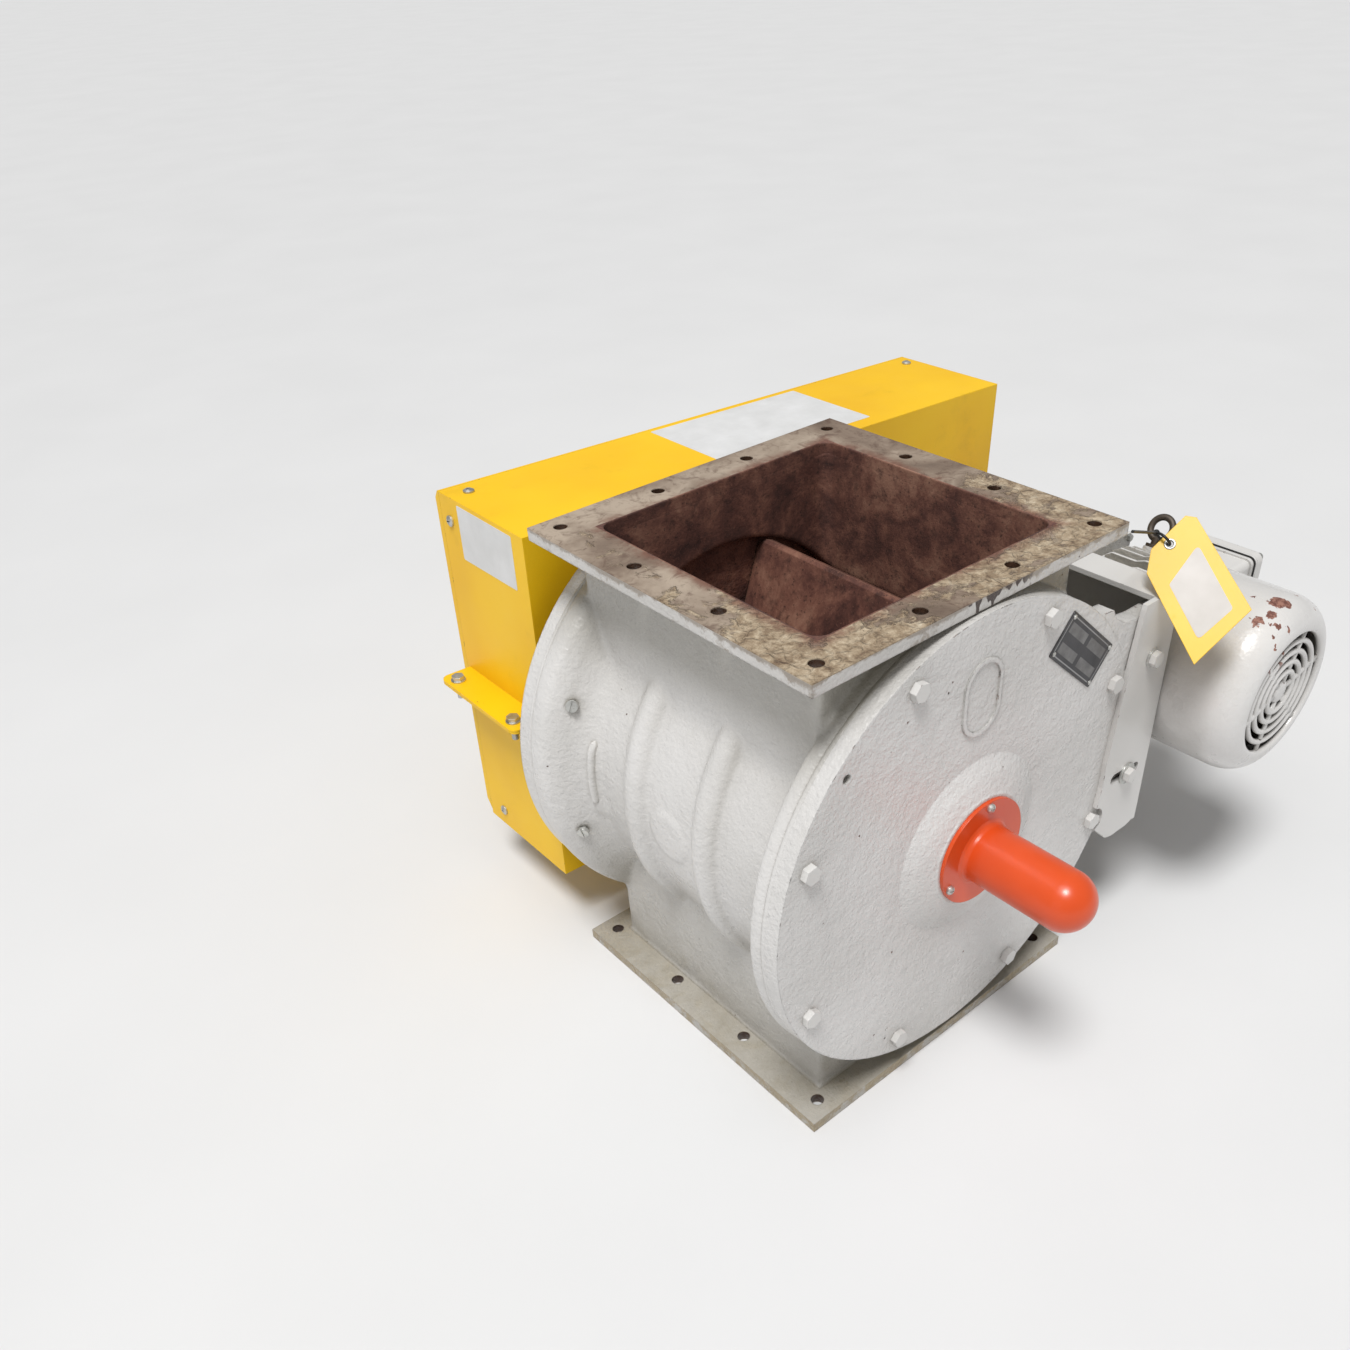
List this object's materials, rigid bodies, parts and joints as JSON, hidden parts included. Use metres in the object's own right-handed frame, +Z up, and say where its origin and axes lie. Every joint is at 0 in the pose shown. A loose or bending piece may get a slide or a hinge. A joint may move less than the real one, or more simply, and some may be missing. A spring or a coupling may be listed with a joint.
{
  "type": "rotary airlock valve",
  "caption": "cast rotary airlock valve with square inlet and outlet flanges, vaned rotor, capped shaft end, side-mounted gearmotor and belt drive under a sheet-metal guard",
  "frame": {"origin": "middle of the outlet flange's underside", "axes": "+Z up from outlet to inlet; the rotor turns about Y, the capped shaft end points to -Y and the belt guard is at +Y; the motor is on the +X side"},
  "size_m": [0.8331, 0.7635, 0.5441],
  "materials": {
    "white_cast_iron": "glossy off-white enamel over rough castings, chipped in places",
    "white_painted_steel": "glossy off-white enamel",
    "rusty_iron": "dark red-brown rust",
    "plated_steel": "zinc plated",
    "machined_steel": "machined and oiled",
    "dark_iron": "phosphated dark grey",
    "black_rubber": "matt black",
    "orange_plastic": "glossy orange",
    "dark_plate": "dark printed metal, bare of lettering",
    "black_plastic": "matt black",
    "yellow_painted_steel": "safety-yellow powder coat",
    "yellow_plastic": "semi-gloss yellow"
  },
  "bodies": {
    "valve_body": {"housing": "white_cast_iron", "front_end_cover": "white_cast_iron", "rear_end_cover": "white_cast_iron", "front_cover_bolts": "white_painted_steel", "rear_cover_bolts": "white_painted_steel", "rotor_bearing_outer_rings": "machined_steel", "shaft_seals": "black_rubber", "shaft_end_cap": "orange_plastic", "cap_screws": "plated_steel", "nameplate": "dark_plate", "nameplate_rivets": "plated_steel", "rim_plugs": "plated_steel", "motor_bracket": "white_painted_steel", "bracket_bolts": "white_painted_steel", "bracket_washers": "plated_steel", "gearbox_casing": "white_cast_iron", "gearbox_cover": "white_cast_iron", "gearbox_cover_screws": "plated_steel", "gearbox_foot_bolts": "plated_steel", "gearbox_bearings": "machined_steel", "motor_stator": "machined_steel", "motor_frame": "white_cast_iron", "motor_drive_end_bell": "white_cast_iron", "motor_fan_end_bell": "white_cast_iron", "motor_bearings": "machined_steel", "fan_cowl": "white_painted_steel", "fan_cowl_screws": "plated_steel", "end_bell_screws": "plated_steel", "conduit_box": "white_painted_steel", "conduit_gasket": "black_rubber", "conduit_lid": "white_painted_steel", "conduit_lid_screws": "plated_steel", "lifting_eye": "plated_steel", "drive_belt": "black_rubber", "guard_upper_half": "yellow_painted_steel", "guard_lower_half": "yellow_painted_steel", "guard_back_cover": "yellow_painted_steel", "guard_cover_screws": "plated_steel", "guard_joint_bolts": "plated_steel", "guard_joint_nuts": "plated_steel", "guard_standoffs": "plated_steel", "guard_mount_bolts": "plated_steel", "hang_tag": "yellow_plastic", "tag_tie": "black_plastic"},
    "rotor": {"rotor_wheel": "rusty_iron", "rotor_shaft": "machined_steel", "rotor_bearing_balls": "machined_steel", "rotor_bearing_inner_rings": "machined_steel", "rotor_pulley": "dark_iron", "rotor_pulley_bushing": "dark_iron", "rotor_shaft_key": "machined_steel"},
    "gearbox_output": {"output_shaft": "machined_steel", "output_gear": "machined_steel", "drive_pulley": "dark_iron", "output_shaft_key": "machined_steel"},
    "gearbox_intermediate": {"intermediate_shaft": "machined_steel", "intermediate_gear": "machined_steel"},
    "motor_rotor": {"motor_shaft": "machined_steel", "motor_rotor_core": "machined_steel", "cooling_fan": "black_plastic"}
  },
  "joints": [
    {"name": "rotor_spin", "type": "hinge", "parent": "valve_body", "child": "rotor", "pos_m": [0, 0, 0.278], "axis": [0, 1, 0], "continuous": true},
    {"name": "output_shaft_spin", "type": "hinge", "parent": "valve_body", "child": "gearbox_output", "pos_m": [0.3905, 0, 0.2585], "axis": [0, 1, 0], "continuous": true},
    {"name": "intermediate_spin", "type": "hinge", "parent": "valve_body", "child": "gearbox_intermediate", "pos_m": [0.45537, 0, 0.2848], "axis": [0, 1, 0], "continuous": true},
    {"name": "motor_spin", "type": "hinge", "parent": "valve_body", "child": "motor_rotor", "pos_m": [0.4074, 0, 0.3096], "axis": [0, 1, 0], "continuous": true}
  ],
  "couplings": [
    {"joint": "output_shaft_spin", "follows": "rotor_spin", "ratio": 2.5},
    {"joint": "intermediate_spin", "follows": "rotor_spin", "ratio": -15},
    {"joint": "motor_spin", "follows": "rotor_spin", "ratio": 75}
  ]
}
